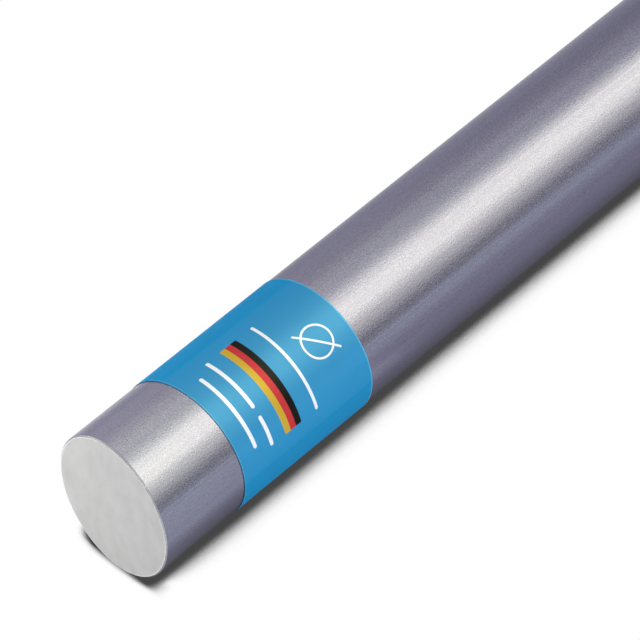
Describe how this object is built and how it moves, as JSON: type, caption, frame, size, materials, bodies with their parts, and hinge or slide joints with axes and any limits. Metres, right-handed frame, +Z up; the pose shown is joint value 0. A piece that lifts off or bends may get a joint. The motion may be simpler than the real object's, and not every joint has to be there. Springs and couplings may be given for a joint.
{
  "type": "round metal bar",
  "caption": "Solid round bar of bright ground steel lying on its side, sawn a little out of square at one end, with a film label stuck round it near that end.",
  "frame": {"origin": "on the floor, under the middle of the bar's length", "axes": "+X along the bar, away from the labelled end; +Z up"},
  "size_m": [0.5, 0.0302, 0.0301],
  "materials": {
    "bright_steel": "ground bright",
    "label_film": "printed film, semi-gloss"
  },
  "bodies": {
    "root": {"bar": "bright_steel", "label": "label_film"}
  },
  "joints": []
}
